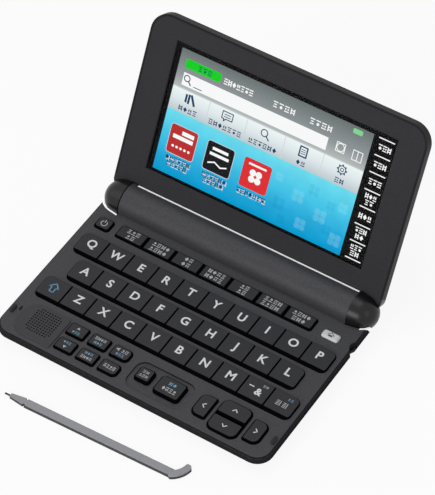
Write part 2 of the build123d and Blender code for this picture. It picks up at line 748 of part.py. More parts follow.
# ------------------------------------------------------------------ small parts of the base
with BuildPart() as bright_trims:
    add(ear_form(barrel_half, cradle_reach - seat_gap))
    add(ear_form(barrel_half, cradle_gap), mode=Mode.SUBTRACT)
    with BuildSketch(front_plane.offset(deck_height + arc_rise)):
        Rectangle(2 * case_width, side_depth, align=(Align.CENTER, Align.MIN))
    extrude(amount=-arc_height, mode=Mode.INTERSECT)
    with BuildSketch(hinge_side_plane.offset(strip_ends[0])):
        strip_section(barrel_radius - strip_depth + seat_gap, barrel_radius + strip_rise)
    extrude(amount=strip_ends[1] - strip_ends[0])
bright_trims.part.label = "bright_trims"
export_step(bright_trims.part, "parts/bright_trims.step")

with BuildPart() as rubber_feet:
    with BuildSketch(front_plane):
        with Locations(front_foot_place):
            Circle(foot_radius)
    extrude(amount=foot_thickness)
    with BuildSketch(Plane((rear_foot_x, hinge_y + rear_foot_offset, 0))):
        Rectangle(*rear_foot_size)
    extrude(amount=foot_thickness)
    mirror(about=Plane.YZ)
rubber_feet.part.label = "rubber_feet"
export_step(rubber_feet.part, "parts/rubber_feet.step")

with BuildPart() as deck_bumpers:
    with BuildSketch(Plane(place(*bumper_centre, deck_height))):
        SlotOverall(bumper_size[1], bumper_size[0], rotation=90)
    extrude(amount=bumper_rise)
    chamfer(faces().sort_by(Axis.Z)[-1].edges(), bumper_edge)
    mirror(about=Plane.YZ)
deck_bumpers.part.label = "deck_bumpers"
export_step(deck_bumpers.part, "parts/deck_bumpers.step")

# ------------------------------------------------------------------ keys
def key_caps(keys, bevel, skirt):
    """Caps with their retaining lips, one solid for each key, and their fronts sloped by a skirt."""
    with BuildPart() as caps:
        for x, middle, width, depth, corners, lip in keys:
            with BuildSketch(Plane(place(x, middle, key_bottom))):
                Rectangle(width, depth)
                round_corners(width, depth, corners)
            extrude(amount=key_top - key_bottom)
        chamfer(faces().group_by(Axis.Z)[-1].edges(), bevel)
        if skirt > 0:
            with BuildSketch(Plane(place(-case_width, middle - depth / 2), x_dir=(0, 1, 0), z_dir=(1, 0, 0))):
                Polygon((0, deck_height), (skirt, key_top), (-skirt, key_top), align=None)
            extrude(amount=2 * case_width, mode=Mode.SUBTRACT)
        for x, middle, width, depth, corners, (side, end) in keys:
            with BuildSketch(Plane(place(x, middle, key_bottom))):
                Rectangle(width + 2 * side, depth + 2 * end)
            extrude(amount=key_flange_thickness)
    return caps.part


key_nodes = {name: [key] for name, key in single_keys.items()}
key_nodes["function_keys"] = function_keys
key_nodes["quick_keys"] = quick_keys
for name, keys in key_nodes.items():
    if name in single_keys and name not in lone_keys:
        caps = key_caps(keys, key_edge, key_skirt)
    else:
        caps = key_caps(keys, cap_edge, 0)
    caps.label = name
    export_step(caps, f"parts/{name}.step")

# ------------------------------------------------------------------ lid
lid_bore = barrel_radius + lid_running_gap
heel_angle = radians(lid_wrap_angle)
heel = (lid_bore * cos(heel_angle), -lid_bore * sin(heel_angle))

with BuildPart() as lid_rear_cover:
    with BuildSketch(lid_face):
        with Locations((0, lid_heel)):
            Rectangle(case_width, lid_length - lid_heel, align=(Align.CENTER, Align.MIN))
        fillet(vertices().group_by(Axis.Y)[-1], lid_corner)
        fillet(vertices().group_by(Axis.Y)[0], lid_heel_corner)
    extrude(amount=-lid_thickness)
    chamfer(faces().sort_by(lid_normal)[0].edges(), lid_edge)
    # seat of the bezel and room for the display
    with BuildSketch(lid_face):
        bezel_plan()
    extrude(amount=-bezel_thickness, mode=Mode.SUBTRACT)
    with BuildSketch(lid_face.offset(-bezel_thickness)):
        edge = lid_rim + bezel_ledge
        with Locations((0, lid_length - edge)):
            room = lid_length - edge - lid_foot_solid
            Rectangle(case_width - 2 * edge, room, align=(Align.CENTER, Align.MAX))
        fillet(vertices().group_by(Axis.Y)[-1], lid_corner - edge)
    extrude(amount=bezel_thickness + rear_wall - lid_thickness, mode=Mode.SUBTRACT)
    # hollow lower edge round the barrel, and the slope of the heel behind it
    with BuildSketch(hinge_side_plane.offset(-ear_inner)):
        Circle(lid_bore)
    extrude(amount=2 * ear_inner, mode=Mode.SUBTRACT)
    with BuildSketch(lid_side_plane.offset(-ear_inner)):
        slope_end = heel[0] + lid_heel_slope
        Polygon(heel, (slope_end, lid_back), (slope_end, 2 * lid_back), (0, 2 * lid_back), align=None)
    extrude(amount=2 * ear_inner, mode=Mode.SUBTRACT)
    # ears with the bores for the pins
    add(ear_form(ear_inner, 0))
    with BuildSketch(hinge_side_plane.offset(-ear_inner - pin_reach)):
        Circle(pin_radius)
    extrude(amount=2 * (ear_inner + pin_reach), mode=Mode.SUBTRACT)
lid_rear_cover.part.label = "lid_rear_cover"
export_step(lid_rear_cover.part, "parts/lid_rear_cover.step")

with BuildPart() as lid_bezel:
    with BuildSketch(lid_face):
        bezel_plan(bezel_gap)
    extrude(amount=-bezel_thickness)
    with BuildSketch(lid_face):
        window_plan()
    extrude(amount=-bezel_thickness, mode=Mode.SUBTRACT)
    chamfer(faces().sort_by(lid_normal)[-1].inner_wires()[0].edges(), window_bevel)
    with BuildSketch(lid_face.offset(-glass_recess)):
        window_plan(glass_lap + screen_gap)
    extrude(amount=glass_recess - bezel_thickness, mode=Mode.SUBTRACT)
    with BuildSketch(hinge_side_plane.offset(-ear_inner)):
        Circle(lid_bore)
    extrude(amount=2 * ear_inner, mode=Mode.SUBTRACT)
    add(ear_form(ear_inner, ear_seat_gap), mode=Mode.SUBTRACT)
lid_bezel.part.label = "lid_bezel"
export_step(lid_bezel.part, "parts/lid_bezel.step")

with BuildPart() as touch_panel:
    with BuildSketch(lid_face.offset(-glass_recess)):
        window_plan(glass_lap)
    extrude(amount=-glass_thickness)
touch_panel.part.label = "touch_panel"
export_step(touch_panel.part, "parts/touch_panel.step")

with BuildPart() as lcd_module:
    with BuildSketch(lid_face.offset(-glass_recess - glass_thickness)):
        window_plan(screen_margin)
    extrude(amount=glass_recess + glass_thickness + rear_wall - lid_thickness)
lcd_module.part.label = "lcd_module"
export_step(lcd_module.part, "parts/lcd_module.step")

# ------------------------------------------------------------------ stylus, lying in front of the base
stylus_plane = Plane(place(*stylus_neck_place)).rotated((0, 0, stylus_turn))
nose_start = -stylus_neck_length
nose_end = nose_start - stylus_nose_length
stylus_width, stylus_thickness = stylus_bar

with BuildPart() as stylus:
    with BuildSketch(stylus_plane):
        Rectangle(stylus_bar_length, stylus_width, align=(Align.MIN, Align.CENTER))
    extrude(amount=stylus_thickness)
    chamfer(edges().filter_by(GeomType.LINE).group_by(Axis.Z)[-1], stylus_edge)
    with BuildSketch(stylus_plane):
        Rectangle(2 * stylus_neck_length, stylus_neck_width, align=(Align.CENTER, Align.CENTER))
        Polygon(
            (nose_start, -stylus_nose_width / 2),
            (nose_start, stylus_nose_width / 2),
            (nose_end, stylus_nose_tip_radius),
            (nose_end, -stylus_nose_tip_radius),
            align=None,
        )
    extrude(amount=stylus_thickness)
    # writing tip
    tip_centre = stylus_plane.from_local_coords((nose_end, 0, stylus_thickness / 2))
    with BuildSketch(Plane(origin=tip_centre, z_dir=-stylus_plane.x_dir)):
        Circle(stylus_tip_radius)
    extrude(amount=stylus_tip_length)
    # curved finger head
    with BuildSketch(stylus_plane):
        with Locations(stylus_head_centre):
            first, last = (radians(angle) for angle in stylus_head_angles)
            reach = 2 * stylus_head_radius
            Circle(stylus_head_radius)
            Circle(stylus_head_radius - stylus_head_width, mode=Mode.SUBTRACT)
            Polygon(
                (0, 0),
                (reach * cos(first), reach * sin(first)),
                (reach * cos(last), reach * sin(last)),
                align=None,
                mode=Mode.INTERSECT,
            )
        fillet(vertices(), stylus_head_round)
    extrude(amount=stylus_head_height)
stylus.part.label = "stylus"
export_step(stylus.part, "parts/stylus.step")
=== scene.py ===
import json
from math import atan2, cos, pi, radians, sin

import bmesh
import bpy
from mathutils import Matrix, Vector


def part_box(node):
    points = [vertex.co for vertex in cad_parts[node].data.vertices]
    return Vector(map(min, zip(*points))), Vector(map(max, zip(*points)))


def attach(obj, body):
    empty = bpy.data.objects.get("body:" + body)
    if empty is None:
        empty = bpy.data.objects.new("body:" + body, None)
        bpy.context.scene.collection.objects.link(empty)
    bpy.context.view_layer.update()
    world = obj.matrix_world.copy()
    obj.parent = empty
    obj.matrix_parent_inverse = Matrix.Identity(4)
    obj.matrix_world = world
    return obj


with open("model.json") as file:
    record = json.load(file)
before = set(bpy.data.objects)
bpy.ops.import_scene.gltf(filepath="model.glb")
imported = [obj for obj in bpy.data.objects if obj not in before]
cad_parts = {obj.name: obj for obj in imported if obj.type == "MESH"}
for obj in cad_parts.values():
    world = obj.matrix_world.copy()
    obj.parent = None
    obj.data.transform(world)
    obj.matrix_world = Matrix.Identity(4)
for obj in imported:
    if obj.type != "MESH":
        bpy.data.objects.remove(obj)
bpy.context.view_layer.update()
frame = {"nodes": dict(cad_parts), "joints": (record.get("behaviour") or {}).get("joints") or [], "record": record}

# Looks of the electronic dictionary.  Lengths are written in millimetres and turned into metres by
# MM.  The CAD nodes carry the shapes; this script adds the materials, the legends, the microphone's
# slot as a flat patch of painted shade, the screw heads, the lit display's picture, the floor, the
# lights and the camera.
MM = 0.001

# ------------------------------------------------------------------ places read from the frame
hinge = next(joint for joint in frame["joints"] if joint["name"] == "lid_hinge")
hinge_point = Vector(hinge["pos_m"])
lid_lean = radians(-hinge["range_deg"][0])
lid_up = Vector((0, -cos(lid_lean), sin(lid_lean)))
lid_out = Vector((0, -sin(lid_lean), -cos(lid_lean)))
side = Vector((1, 0, 0))
up = Vector((0, 0, 1))
deep = Vector((0, 1, 0))


def node_middle(node):
    low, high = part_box(node)
    return (low + high) / 2


def top_of(node):
    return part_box(node)[1].z


# Heights above the surface that the part stands on.
KEY_TOP = 10.4
DECK_TOP = 9.2
DISH_FLOOR = 8.4
STYLUS_TOP = 1.8

EAR_REACH = 9.7                # just over the ears' radius
RIGHT_ARC_PAINTED_SHADE = (62.7, 70.5)  # from and to along X: the part of the right arc under the ear, painted dark as shade
GRAIN_DEPTH = 0.03


# ------------------------------------------------------------------ materials
def new_material(name):
    material = bpy.data.materials.new(name)
    material.use_nodes = True
    nodes = material.node_tree.nodes
    return material, nodes, material.node_tree.links, nodes["Principled BSDF"]


def add_noise(nodes, links, scale, detail=2.0):
    """Noise texture on the object's own coordinates, in features per metre."""
    place = nodes.new("ShaderNodeTexCoord")
    noise = nodes.new("ShaderNodeTexNoise")
    noise.inputs["Scale"].default_value = scale
    noise.inputs["Detail"].default_value = detail
    links.new(place.outputs["Object"], noise.inputs["Vector"])
    return noise


def ramp(nodes, links, source, stops):
    """Colour driven by a factor socket; stops are (position, linear colour)."""
    node = nodes.new("ShaderNodeValToRGB")
    elements = node.color_ramp.elements
    while len(elements) < len(stops):
        elements.new(0.5)
    for element, (position, colour) in zip(elements, stops):
        element.position = position
        element.color = (*colour, 1.0)
    links.new(source, node.inputs["Fac"])
    return node.outputs["Color"]


def speckled(nodes, links, noise, colour, low, high):
    """The colour, varied between two factors by a noise texture."""
    return ramp(nodes, links, noise.outputs["Fac"], [(0.3, shade(colour, low)), (0.7, shade(colour, high))])


def spread_over(nodes, links, noise, low, high):
    """A number that varies between low and high with a noise texture."""
    spread = nodes.new("ShaderNodeMapRange")
    spread.inputs["To Min"].default_value = low
    spread.inputs["To Max"].default_value = high
    links.new(noise.outputs["Fac"], spread.inputs["Value"])
    return spread.outputs["Result"]


def mix_surface(nodes, links, share, first, second, end="Material Output"):
    """Send a mix of two shader sockets to the output; share is how much of the second."""
    blend = nodes.new("ShaderNodeMixShader")
    links.new(share, blend.inputs["Fac"])
    links.new(first, blend.inputs[1])
    links.new(second, blend.inputs[2])
    links.new(blend.outputs["Shader"], nodes[end].inputs["Surface"])


def shade(colour, factor):
    return tuple(channel * factor for channel in colour)


def add_bump(nodes, links, height, shader, strength, distance):
    bump = nodes.new("ShaderNodeBump")
    bump.inputs["Strength"].default_value = strength
    bump.inputs["Distance"].default_value = distance
    links.new(height, bump.inputs["Height"])
    links.new(bump.outputs["Normal"], shader.inputs["Normal"])


def axis_of(nodes, links, axis):
    """One of the object's own coordinates, in metres."""
    place = nodes.new("ShaderNodeTexCoord")
    split = nodes.new("ShaderNodeSeparateXYZ")
    links.new(place.outputs["Object"], split.inputs["Vector"])
    return split.outputs[axis]


def maths(nodes, links, operation, first, second):
    """Result socket of one operation on a socket and a socket or number."""
    node = nodes.new("ShaderNodeMath")
    node.operation = operation
    links.new(first, node.inputs[0])
    if isinstance(second, float):
        node.inputs[1].default_value = second
    else:
        links.new(second, node.inputs[1])
    return node.outputs["Value"]


def multiplier(nodes, links, colour):
    """Node that multiplies the colour by its second colour."""
    mix = nodes.new("ShaderNodeMixRGB")
    mix.blend_type = "MULTIPLY"
    links.new(colour, mix.inputs["Color1"])
    return mix


def darker_where(nodes, links, colour, mask, factor):
    """The colour, darkened by a factor where the mask is 1."""
    mix = multiplier(nodes, links, colour)
    mix.inputs["Color2"].default_value = (factor, factor, factor, 1.0)
    links.new(mask, mix.inputs["Fac"])
    return mix.outputs["Color"]


def matt_painted_shade_sides(nodes, links, shader, tint, painted_shade_below, dark, level_floor):
    """Matt, and darker as painted shade, under a height, apart from a level floor that keeps the top's own look.
    """
    height = axis_of(nodes, links, "Z")
    # mask of the painted shade: 1 below the height
    low = maths(nodes, links, "LESS_THAN", height, painted_shade_below * MM)
    if level_floor:
        above_floor = maths(nodes, links, "SUBTRACT", height, level_floor * MM)
        off = maths(nodes, links, "ABSOLUTE", above_floor, 0.0)
        low = maths(nodes, links, "MULTIPLY", low, maths(nodes, links, "GREATER_THAN", off, 0.02 * MM))
    matt = nodes.new("ShaderNodeBsdfDiffuse")
    matt.inputs["Roughness"].default_value = 0.6
    links.new(darker_where(nodes, links, tint, low, dark), matt.inputs["Color"])
    mix_surface(nodes, links, low, shader.outputs["BSDF"], matt.outputs["BSDF"])


def near_hinge(nodes, links):
    """1 where the surface lies close round the hinge's axis, as the ears do."""
    dy = maths(nodes, links, "SUBTRACT", axis_of(nodes, links, "Y"), hinge_point.y)
    dz = maths(nodes, links, "SUBTRACT", axis_of(nodes, links, "Z"), hinge_point.z)
    squares = [maths(nodes, links, "MULTIPLY", offset, offset) for offset in (dy, dz)]
    return maths(nodes, links, "LESS_THAN", maths(nodes, links, "ADD", *squares), (EAR_REACH * MM) ** 2)


def moulded(name, colour, roughness, speck=0.12, grain=2600, specular=0.5, strength=0.25, painted_shade_below=None,
            dark=0.3, level_floor=None, shiny_ears=False):
    """Moulded plastic: fine spark-eroded grain, faint mottling and uneven gloss, with painted shade on the sides
    under a height where one is given.
    """
    material, nodes, links, shader = new_material(name)
    fine = add_noise(nodes, links, grain)
    tint = speckled(nodes, links, fine, colour, 1 - speck, 1 + speck)
    gloss = spread_over(nodes, links, add_noise(nodes, links, 45, 3.0), roughness - 0.05, roughness + 0.05)
    # painted shade: darker, matt sides below the given height
    if painted_shade_below:
        matt_painted_shade_sides(nodes, links, shader, tint, painted_shade_below, dark, level_floor)
    if shiny_ears:
        near = near_hinge(nodes, links)
        tint = darker_where(nodes, links, tint, near, 0.5)
        gloss = maths(nodes, links, "SUBTRACT", gloss, maths(nodes, links, "MULTIPLY", near, 0.15))
        shine = maths(nodes, links, "ADD", maths(nodes, links, "MULTIPLY", near, 0.22), specular)
        links.new(shine, shader.inputs["Specular IOR Level"])
    else:
        shader.inputs["Specular IOR Level"].default_value = specular
    links.new(tint, shader.inputs["Base Color"])
    links.new(gloss, shader.inputs["Roughness"])
    add_bump(nodes, links, fine.outputs["Fac"], shader, strength, GRAIN_DEPTH * MM)
    return material


def light_source(links, shader, colours, strength):
    """Make the surface give out the colours and reflect next to nothing."""
    links.new(colours, shader.inputs["Emission Color"])
    shader.inputs["Emission Strength"].default_value = strength
    shader.inputs["Base Color"].default_value = (0.0, 0.0, 0.0, 1.0)
    shader.inputs["Specular IOR Level"].default_value = 0.0


def printed(name, colour):
    """Pad-printed ink, slightly uneven."""
    material, nodes, links, shader = new_material(name)
    tint = speckled(nodes, links, add_noise(nodes, links, 1800), colour, 0.92, 1.04)
    links.new(tint, shader.inputs["Base Color"])
    shader.inputs["Roughness"].default_value = 0.55
    return material


def lit(name, colour):
    """A lit patch of the display, slightly uneven."""
    material, nodes, links, shader = new_material(name)
    tint = speckled(nodes, links, add_noise(nodes, links, 1800), colour, 0.985, 1.01)
    light_source(links, shader, tint, 1.0)
    shader.inputs["Roughness"].default_value = 0.55
    return material


def metal(name, colour, roughness, brush=(900, 900, 60), metallic=1.0, glow=0.0, painted_shade_span=None):
    """Metal with faint brushing along one axis; painted shade darkens it between two places along X, and a glow
    paints light on it.
    """
    material, nodes, links, shader = new_material(name)
    place = nodes.new("ShaderNodeTexCoord")
    stretch = nodes.new("ShaderNodeMapping")
    stretch.inputs["Scale"].default_value = brush
    noise = nodes.new("ShaderNodeTexNoise")
    noise.inputs["Scale"].default_value = 1.0
    links.new(place.outputs["Object"], stretch.inputs["Vector"])
    links.new(stretch.outputs["Vector"], noise.inputs["Vector"])
    tint = speckled(nodes, links, noise, colour, 0.9, 1.0)
    # painted shade: near black between the two places along X
    if painted_shade_span:
        start, end = painted_shade_span
        after = maths(nodes, links, "GREATER_THAN", axis_of(nodes, links, "X"), start * MM)
        before = maths(nodes, links, "LESS_THAN", axis_of(nodes, links, "X"), end * MM)
        tint = darker_where(nodes, links, tint, maths(nodes, links, "MULTIPLY", after, before), 0.03)
    links.new(tint, shader.inputs["Base Color"])
    gloss = spread_over(nodes, links, noise, roughness * 0.8, roughness * 1.2)
    links.new(gloss, shader.inputs["Roughness"])
    shader.inputs["Metallic"].default_value = metallic
    # painted light: emission that makes the metal read bright where it lies in shade
    if glow:
        links.new(tint, shader.inputs["Emission Color"])
        shader.inputs["Emission Strength"].default_value = glow
    return material


# painted shade: the deck's rounded edges, side walls and the dish's walls are darker below the deck's top
case_black = moulded("case_black_plastic", (0.0455, 0.0445, 0.050), 0.5, specular=0.3,
                     painted_shade_below=DECK_TOP - 0.12, dark=0.55, level_floor=DISH_FLOOR, speck=0.2,
                     grain=1100)
belly_black = moulded("belly_black_plastic", (0.014, 0.0135, 0.015), 0.5, specular=0.3)
# painted shade: the lid's bezel is darker than the deck, for the lesser light on the lid's face
lid_shaded_black = moulded("lid_black_plastic_painted_shade", (0.016, 0.0155, 0.0185), 0.5, specular=0.2, speck=0.18, grain=1100)
back_black = moulded("lid_back_black_plastic", (0.010, 0.0096, 0.0116), 0.42, specular=0.1, shiny_ears=True)
# painted shade: the keys' sides and skirts are darker below their tops
key_black = moulded("key_black_plastic", (0.019, 0.0185, 0.0215), 0.55, speck=0.22, grain=1700,
                    specular=0.28, painted_shade_below=KEY_TOP - 0.03, dark=0.15)
key_pale = moulded("key_pale_plastic", (0.66, 0.66, 0.67), 0.5, speck=0.05)
grille_black = moulded("grille_black_plastic", (0.036, 0.035, 0.040), 0.55, specular=0.3)
inner_black = moulded("inner_black_plastic", (0.03, 0.03, 0.033), 0.6)
rubber_black = moulded("foot_black_rubber", (0.02, 0.02, 0.021), 0.8, speck=0.2, specular=0.3)
membrane_grey = moulded("membrane_grey_silicone", (0.06, 0.06, 0.065), 0.7)
board_green = moulded("board_green_mask", (0.02, 0.16, 0.06), 0.35, grain=600)
cone_black = moulded("speaker_black_can", (0.012, 0.012, 0.014), 0.5)
# painted shade: the stylus's sides are darker below its top
stylus_grey = moulded("stylus_grey_plastic", (0.31, 0.31, 0.33), 0.42, speck=0.06,
                      painted_shade_below=STYLUS_TOP - 0.1)
# painted light and shade: the trim glows so it reads bright between lid and barrel, and the right arc under the
# ear is darkened
strip_painted_light = metal("metallised_strip_painted_glow_and_shade", (0.93, 0.94, 0.95), 0.35, metallic=0.15, glow=0.4,
                     painted_shade_span=RIGHT_ARC_PAINTED_SHADE)
cell_steel = metal("cell_brushed_sleeve", (0.45, 0.45, 0.47), 0.35)
contact_steel = metal("contact_plated_spring", (0.75, 0.75, 0.73), 0.25)
hinge_steel = metal("hinge_turned_steel", (0.5, 0.5, 0.52), 0.3)
screw_black = metal("screw_blackened_steel", (0.1, 0.1, 0.11), 0.4)

ink_white = printed("ink_white", (0.78, 0.78, 0.80))
ink_grey = printed("ink_grey", (0.46, 0.46, 0.47))
ink_blue = printed("ink_blue", (0.16, 0.36, 0.52))
ink_dark = printed("ink_dark", (0.06, 0.06, 0.065))


def clear_glass():
    """Thin clear touch panel: see-through head on, glossier at a slant, with faint smudges."""
    material, nodes, links, shader = new_material("touch_clear_glass")
    gloss = nodes.new("ShaderNodeBsdfGlossy")
    smudges = spread_over(nodes, links, add_noise(nodes, links, 60, 3.0), 0.04, 0.12)
    links.new(smudges, gloss.inputs["Roughness"])
    clear = nodes.new("ShaderNodeBsdfTransparent")
    slant = nodes.new("ShaderNodeFresnel")
    slant.inputs["IOR"].default_value = 1.12
    mix_surface(nodes, links, slant.outputs["Fac"], clear.outputs["BSDF"], gloss.outputs["BSDF"])
    nodes.remove(shader)
    return material


display_black = moulded("display_black_frame", (0.002, 0.002, 0.0025), 0.5, speck=0.1, specular=0.1,
                        strength=0.05)
touch_glass = clear_glass()

slot_looks = {
    "case_black": case_black, "key_black": key_black, "key_pale": key_pale, "grille_black": grille_black,
    "bright_trim": strip_painted_light, "touch_glass": touch_glass, "display": display_black,
    "stylus_grey": stylus_grey, "foot_rubber": rubber_black, "membrane_rubber": membrane_grey,
    "inner_plastic": inner_black, "board_green": board_green, "speaker_black": cone_black,
    "cell_steel": cell_steel, "contact_steel": contact_steel, "hinge_steel": hinge_steel,
}
node_looks = {"lid_rear_cover": back_black, "lid_bezel": lid_shaded_black, "bottom_cover": belly_black,
              "battery_door": belly_black}
for part in frame["record"]["subparts"]:
    name = part["node"]
    look = node_looks.get(name, slot_looks[part["material_slot"]])
    cad_object = frame["nodes"][name]
    for material_slot in cad_object.material_slots:
        material_slot.material = look


# ------------------------------------------------------------------ flat marks
def add_piece(name, data, body, place=None):
    """New object that rides on a body."""
    piece = bpy.data.objects.new(name, data)
    if place:
        piece.matrix_world = place
    bpy.context.scene.collection.objects.link(piece)
    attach(piece, body)


def facing(place, across, along, out):
    """Matrix of an object at a place, with its own X, Y and Z along three directions."""
    return Matrix.Translation(place) @ Matrix((across, along, out)).transposed().to_4x4()


class Sheet:
    """A face of the part to print on: a point, its two directions, and its outward direction."""

    def __init__(self, origin, across, along, out):
        self.origin, self.across, self.along, self.out = origin, across, along, out

    def point(self, x, y, lift):
        return self.origin + (self.across * x + self.along * y + self.out * lift) * MM


class Print:
    """Flat shapes of one ink on one sheet, in the sheet's own millimetres."""

    def __init__(self, name, sheet, ink, lift=0.02):
        self.name, self.sheet, self.ink, self.lift = name, sheet, ink, lift
        self.form = bmesh.new()

    def shape(self, points, x=0.0, y=0.0):
        corners = [self.form.verts.new(self.sheet.point(x + px, y + py, self.lift)) for px, py in points]
        self.form.faces.new(corners)

    def bar(self, x, y, width, height):
        w, h = width / 2, height / 2
        self.shape([(-w, -h), (w, -h), (w, h), (-w, h)], x, y)

    def disc(self, x, y, radius, parts=20):
        turns = [2 * pi * part / parts for part in range(parts)]
        self.shape([(radius * cos(turn), radius * sin(turn)) for turn in turns], x, y)

    def tile(self, x, y, width, height, corner, parts=5):
        """Rectangle with round corners."""
        points = []
        for quarter, (sx, sy) in enumerate(((1, 1), (-1, 1), (-1, -1), (1, -1))):
            for part in range(parts + 1):
                turn = pi / 2 * (quarter + part / parts)
                points.append((sx * (width / 2 - corner) + corner * cos(turn),
                               sy * (height / 2 - corner) + corner * sin(turn)))
        self.shape(points, x, y)

    def stroke(self, points, width, x=0.0, y=0.0):
        """Line of constant width through the points."""
        for (ax, ay), (bx, by) in zip(points, points[1:]):
            turn = atan2(by - ay, bx - ax)
            nx, ny = -sin(turn) * width / 2, cos(turn) * width / 2
            ex, ey = cos(turn) * width / 4, sin(turn) * width / 4
            self.shape([(ax - ex + nx, ay - ey + ny), (ax - ex - nx, ay - ey - ny),
                        (bx + ex - nx, by + ey - ny), (bx + ex + nx, by + ey + ny)], x, y)

    def arc(self, x, y, radius, width, start=0.0, end=360.0, parts=24):
        turns = [radians(start + (end - start) * part / parts) for part in range(parts + 1)]
        inner, outer = radius - width / 2, radius + width / 2
        for first, second in zip(turns, turns[1:]):
            places = ((inner, first), (outer, first), (outer, second), (inner, second))
            self.shape([(reach * cos(turn), reach * sin(turn)) for reach, turn in places], x, y)

    def outline(self, points, width, x=0.0, y=0.0):
        """Closed line through the points."""
        self.stroke([*points, points[0]], width, x, y)

    def finish(self, body, slot):
        mesh = bpy.data.meshes.new(self.name)
        bmesh.ops.recalc_face_normals(self.form, faces=self.form.faces)
        self.form.normal_update()
        for face in self.form.faces:
            if face.normal.dot(self.sheet.out) < 0:
                face.normal_flip()
        self.form.to_mesh(mesh)
        self.form.free()
        mesh.materials.append(self.ink)
        add_piece(self.name, mesh, body)


def key_sheet(x, y, z):
    return Sheet(Vector((x, y, z)), side, deep, up)


LETTER_SIZE = 6.2
AMPERSAND_SIZE = 5.2


def letter(name, sheet, text, size, ink, body, x=0.0, y=0.0):
    """One printed character, centred on the sheet's point."""
    curve = bpy.data.curves.new(name, "FONT")
    curve.body = text
    curve.size = size * MM
    curve.align_x = "CENTER"
    curve.align_y = "CENTER"
    curve.extrude = 0.01 * MM
    curve.offset = 0.15 * MM
    curve.materials.append(ink)
    place = facing(sheet.point(x, y, 0.02), sheet.across, sheet.along, sheet.out)
    add_piece(name, curve, body, place)


def label_line(ink_print, x, y, blocks, width, height):
    """Stands in for a short word: a row of plain little figures of dots and bars."""
    pitch = width / blocks
    reach = min(pitch, height) * 0.42
    thin = height / 5.5
    for index in range(blocks):
        middle = x + (index + 0.5) * pitch - width / 2
        figure = (index * 5 + blocks + int(abs(x) * 3) + int(abs(y) * 7)) % 6
        if figure == 0:
            for step, share in ((-1, 1.0), (0, 0.6), (1, 0.8)):
                ink_print.bar(middle, y + step * (height - thin) / 2, 2 * reach * share, thin)
        elif figure == 1:
            ink_print.bar(middle, y + (height - thin) / 2, 2 * reach, thin)
            for step in (-1, 1):
                ink_print.bar(middle + step * reach / 2, y - height * 0.16, thin * 1.2, height * 0.5)
        elif figure == 2:
            ink_print.shape([(-reach, 0), (0, -height / 2), (reach, 0), (0, height / 2)], middle, y)
        elif figure == 3:
            for step in (-1, 1):
                ink_print.bar(middle + step * reach * 0.7, y, thin, height)
                ink_print.bar(middle, y + step * height * 0.2, reach, thin)
        elif figure == 4:
            for step in (-1, 1):
                ink_print.bar(middle, y + step * (height - thin) / 2, 2 * reach, thin)
                ink_print.disc(middle + step * reach * 0.55, y, height * 0.15, 8)
        else:
            ink_print.bar(middle, y - (height - thin) / 2, 2 * reach, thin)
            ink_print.disc(middle, y + height * 0.16, height * 0.26, 8)


# ------------------------------------------------------------------ legends of the keyboard
KEY_SKIRT = 1.5               # the letter rows' keys slope forward this far under their tops
LONE_KEYS = ("key_power", "key_home", "key_back", "key_enter",
             "key_up", "key_left", "key_down", "key_right")


def key_face(node):
    """Sheet on the flat top of one key."""
    middle = node_middle(node)
    shift = 0 if node in LONE_KEYS else KEY_SKIRT / 2 * MM
    return key_sheet(middle.x, middle.y + shift, top_of(node))


for name in "qwertyuiopasdfghjklzxcvbnm":
    node = f"key_{name}"
    letter(f"legend_{name}", key_face(node), name.upper(), LETTER_SIZE, ink_white, node, y=0.3)


def mark_key(node, ink, draw, ink_name="marks", slot="key_pale"):
    """Print one key's top by a function that draws on it."""
    marks = Print(f"{ink_name}_{node}", key_face(node), ink)
    draw(marks)
    marks.finish(node, slot)


def arrow_up(marks):
    marks.stroke([(-2.4, 0.3), (0, 2.9), (2.4, 0.3)], 0.5)
    marks.stroke([(-2.6, 0.3), (-1.1, 0.3), (-1.1, -2.4), (1.1, -2.4), (1.1, 0.3), (2.6, 0.3)], 0.5)


def dash(marks):
    marks.bar(-2.9, 0.9, 2.6, 0.55)


def delete_word(marks):
    for x in (-1.6, 1.8):
        for y in (-2.1, -1.3, -0.5, 0.3):
            marks.bar(x - 0.45, y, 1.5, 0.36)
        marks.bar(x + 0.85, -0.9, 0.4, 2.9)


def power(marks):
    marks.arc(0, -0.1, 1.5, 0.42, 125, 415)
    marks.bar(0, 1.3, 0.42, 1.6)


def home(marks):
    marks.stroke([(-1.7, -0.1), (0, 1.2), (1.7, -0.1)], 0.35)
    marks.bar(0, -0.65, 2.1, 1.1)


def word_marks(*lines):
    """Function that draws words, each given by its x, y, number of figures, width and height."""
    def draw(marks):
        for line in lines:
            label_line(marks, *line)
    return draw


CHEVRON = ((-1.15, -0.65), (0, 0.65), (1.15, -0.65))


def chevron(turn):
    """Arrow head that points up, turned by an angle."""
    def draw(marks):
        turned = [(x * cos(turn) - y * sin(turn), x * sin(turn) + y * cos(turn)) for x, y in CHEVRON]
        marks.stroke(turned, 0.45)
    return draw


